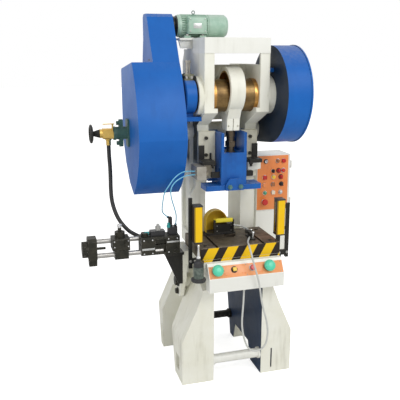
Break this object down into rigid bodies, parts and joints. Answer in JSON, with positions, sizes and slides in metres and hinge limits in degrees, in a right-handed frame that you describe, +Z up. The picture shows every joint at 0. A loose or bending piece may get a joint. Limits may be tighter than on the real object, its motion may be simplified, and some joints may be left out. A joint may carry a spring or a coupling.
{
  "type": "mechanical stamping press",
  "caption": "Open-back inclinable C-frame power press with flywheel guard, crank gear, guided slide, slotted bolster, two-hand control box, foot switch, strip feeder and control cabinet.",
  "frame": {"origin": "on the floor at the centre of the four anchor holes", "axes": "+X to the right seen from the operator, +Y to the back, +Z up"},
  "size_m": [1.272, 0.6997, 1.977],
  "materials": {
    "cream_casting": "satin",
    "cream_paint": "satin",
    "black_paint": "satin",
    "blue_paint": "gloss",
    "green_enamel": "satin",
    "orange_paint": "satin",
    "yellow_paint": "satin",
    "dark_casting": "matt",
    "ground_steel": "ground",
    "bronze": "machined",
    "aluminium": "anodised",
    "black_plastic": "matt",
    "button_green": "gloss",
    "button_yellow": "gloss",
    "button_red": "gloss",
    "black_rubber": "matt",
    "grey_conduit": "matt",
    "blue_tube": "gloss"
  },
  "bodies": {
    "stand": {"left_leg": "cream_casting", "right_leg": "cream_casting", "front_tie_bar": "cream_paint", "rear_tie_rod": "black_paint", "tilt_bolts": "ground_steel"},
    "crank": {"crankshaft": "ground_steel", "brake_drum": "blue_paint"},
    "gear": {"crank_gear": "ground_steel"},
    "drive": {"pinion_shaft": "ground_steel", "flywheel": "dark_casting"},
    "rotor": {"motor_pulley": "ground_steel"},
    "slide": {"ram": "blue_paint", "shank_clamp": "ground_steel"},
    "knockout": {"knockout_bar": "ground_steel"},
    "connecting_rod": {"pitman": "dark_casting", "pitman_bush": "bronze", "ball_screw": "ground_steel"},
    "handwheel": {"handwheel": "black_plastic"},
    "carriage": {"feeder_carriage": "aluminium"},
    "palm_left": {"palm_button_left": "button_green"},
    "palm_right": {"palm_button_right": "button_green"},
    "reset": {"reset_button": "button_yellow"},
    "stop": {"stop_button": "button_red"},
    "treadle": {"pedal_treadle": "yellow_paint"},
    "door": {"cabinet_door": "orange_paint"},
    "door_stop": {"cabinet_stop_button": "button_red"},
    "door_selector": {"cabinet_selector": "black_plastic"},
    "frame": {"c_frame": "cream_casting", "bolster_plate": "ground_steel", "cap_screws": "ground_steel", "crown_beam": "cream_paint", "shaft_bushes": "bronze", "gib_plates": "ground_steel", "stop_brackets": "black_paint", "side_blocks": "aluminium", "belt_guard": "blue_paint", "gear_cover": "blue_paint", "brake_band": "ground_steel", "brake_spring": "ground_steel", "motor_housing": "green_enamel", "fan_cover": "green_enamel", "motor_base": "green_enamel", "v_belts": "black_rubber", "rotary_union": "green_enamel", "brass_valve": "bronze", "feeder_body": "aluminium", "feeder_bracket": "ground_steel", "feeder_rods": "ground_steel", "feeder_end_block": "black_plastic", "feeder_valves": "aluminium", "control_box": "cream_paint", "cabinet": "cream_paint", "light_curtains": "yellow_paint", "curtain_posts": "cream_paint", "air_filter": "black_plastic", "pedal_base": "dark_casting", "pedal_hood": "yellow_paint", "pedal_conduit": "grey_conduit", "feeder_hose": "black_rubber", "air_tubes": "blue_tube"}
  },
  "joints": [
    {"name": "frame_tilt", "type": "hinge", "parent": "stand", "child": "frame", "pos_m": [0, 0, 0.51], "axis": [-1, 0, 0], "range_deg": [0, 25]},
    {"name": "crank_turn", "type": "hinge", "parent": "frame", "child": "crank", "pos_m": [0, -0.1, 1.56], "axis": [1, 0, 0], "range_deg": [0, 180]},
    {"name": "ram_travel", "type": "slide", "parent": "frame", "child": "slide", "axis": [0, 0, -1], "range_m": [0, 0.055]},
    {"name": "rod_swing", "type": "hinge", "parent": "slide", "child": "connecting_rod", "pos_m": [0, -0.1, 1.235], "axis": [1, 0, 0], "range_deg": [-4.5, 4.5]},
    {"name": "knockout_lift", "type": "slide", "parent": "slide", "child": "knockout", "axis": [0, 0, 1], "range_m": [0, 0.02]},
    {"name": "drive_turn", "type": "hinge", "parent": "frame", "child": "drive", "pos_m": [0, 0.08, 1.35875], "axis": [1, 0, 0], "continuous": true},
    {"name": "gear_turn", "type": "hinge", "parent": "frame", "child": "gear", "pos_m": [0.28, -0.1, 1.56], "axis": [1, 0, 0], "continuous": true},
    {"name": "rotor_turn", "type": "hinge", "parent": "frame", "child": "rotor", "pos_m": [-0.345, 0.1, 1.917], "axis": [1, 0, 0], "continuous": true},
    {"name": "handwheel_turn", "type": "hinge", "parent": "frame", "child": "handwheel", "pos_m": [-0.7, 0.08, 1.35875], "axis": [1, 0, 0], "continuous": true},
    {"name": "carriage_feed", "type": "slide", "parent": "frame", "child": "carriage", "axis": [1, 0, 0], "range_m": [-0.07, 0.02]},
    {"name": "palm_left_press", "type": "slide", "parent": "frame", "child": "palm_left", "axis": [0, 0.854, -0.5203], "range_m": [0, 0.006], "stiffness_N_per_m": 600, "springref_m": -0.003},
    {"name": "palm_right_press", "type": "slide", "parent": "frame", "child": "palm_right", "axis": [0, 0.854, -0.5203], "range_m": [0, 0.006], "stiffness_N_per_m": 600, "springref_m": -0.003},
    {"name": "reset_press", "type": "slide", "parent": "frame", "child": "reset", "axis": [0, 0.854, -0.5203], "range_m": [0, 0.005], "stiffness_N_per_m": 600, "springref_m": -0.003},
    {"name": "stop_press", "type": "slide", "parent": "frame", "child": "stop", "axis": [0, 0.854, -0.5203], "range_m": [0, 0.006], "stiffness_N_per_m": 600, "springref_m": -0.003},
    {"name": "treadle_press", "type": "hinge", "parent": "frame", "child": "treadle", "pos_m": [-0.028, -0.068, 0.862], "axis": [-1, 0, 0], "range_deg": [0, 8], "stiffness_Nm_per_rad": 5, "springref_deg": -8.59},
    {"name": "door_swing", "type": "hinge", "parent": "frame", "child": "door", "pos_m": [0.453, 0.096, 1.0275], "axis": [0, 0, 1], "range_deg": [0, 110]},
    {"name": "door_stop_press", "type": "slide", "parent": "door", "child": "door_stop", "axis": [0, 1, 0], "range_m": [0, 0.007], "stiffness_N_per_m": 600, "springref_m": -0.003},
    {"name": "selector_turn", "type": "hinge", "parent": "door", "child": "door_selector", "pos_m": [0.335, 0.085, 1.1], "axis": [0, 1, 0], "range_deg": [-45, 45]}
  ],
  "couplings": [
    {"joint": "ram_travel", "follows": "crank_turn", "m_per_rad": 0.0175},
    {"joint": "gear_turn", "follows": "drive_turn", "ratio": -0.21622},
    {"joint": "rotor_turn", "follows": "drive_turn", "ratio": 4.2381}
  ]
}
